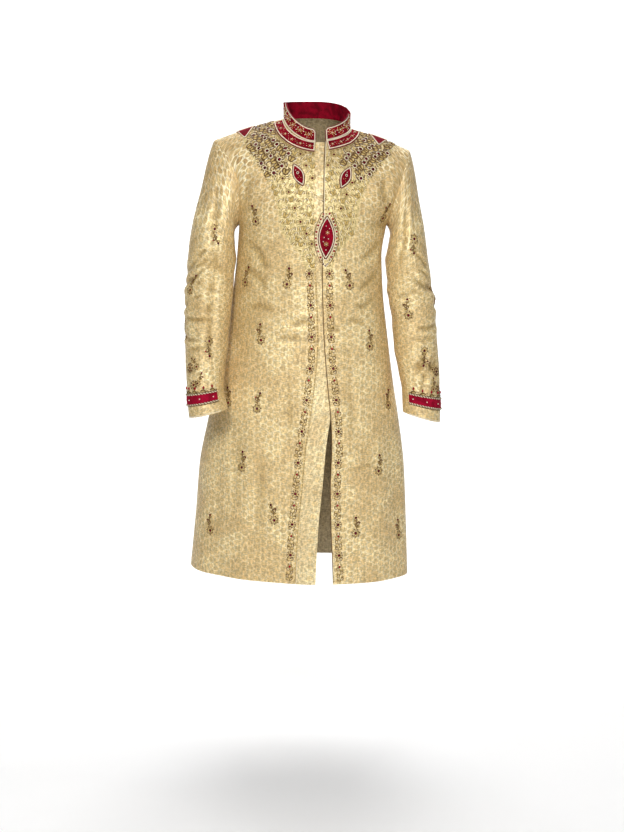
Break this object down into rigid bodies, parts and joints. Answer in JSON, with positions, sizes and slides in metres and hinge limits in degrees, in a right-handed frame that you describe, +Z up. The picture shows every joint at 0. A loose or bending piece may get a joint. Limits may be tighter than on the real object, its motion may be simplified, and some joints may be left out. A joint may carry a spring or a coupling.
{
  "type": "sherwani coat",
  "caption": "Knee-length brocade sherwani coat in its worn, hollow form, with a stand collar, velvet bands and patches, a lapped front and an open front slit",
  "frame": {"origin": "middle of the base of the neck, where the coat rests on its wearer's shoulders", "axes": "+Z up the wearer's body, -Y out of the chest, +X to the wearer's left"},
  "size_m": [0.5973, 0.3579, 1.1093],
  "materials": {
    "gold_brocade": "pale gold brocade with a raised ogee weave and a soft satin sheen",
    "plain_brocade": "pale gold brocade, plainer and a little lighter",
    "maroon_velvet": "deep maroon velvet with a short nap"
  },
  "bodies": {
    "root": {"front_right": "gold_brocade", "front_left": "gold_brocade", "back_right": "gold_brocade", "back_left": "gold_brocade", "placket": "plain_brocade", "sleeve_upper_right": "gold_brocade", "sleeve_under_right": "gold_brocade", "sleeve_upper_left": "gold_brocade", "sleeve_under_left": "gold_brocade", "collar_stand": "maroon_velvet", "neck_band_right": "maroon_velvet", "neck_band_left": "maroon_velvet", "cuff_band_right": "maroon_velvet", "cuff_band_left": "maroon_velvet", "chest_marquise": "maroon_velvet", "chest_leaf_right": "maroon_velvet", "chest_leaf_left": "maroon_velvet", "shoulder_patch_right": "maroon_velvet", "shoulder_patch_left": "maroon_velvet"}
  },
  "joints": []
}
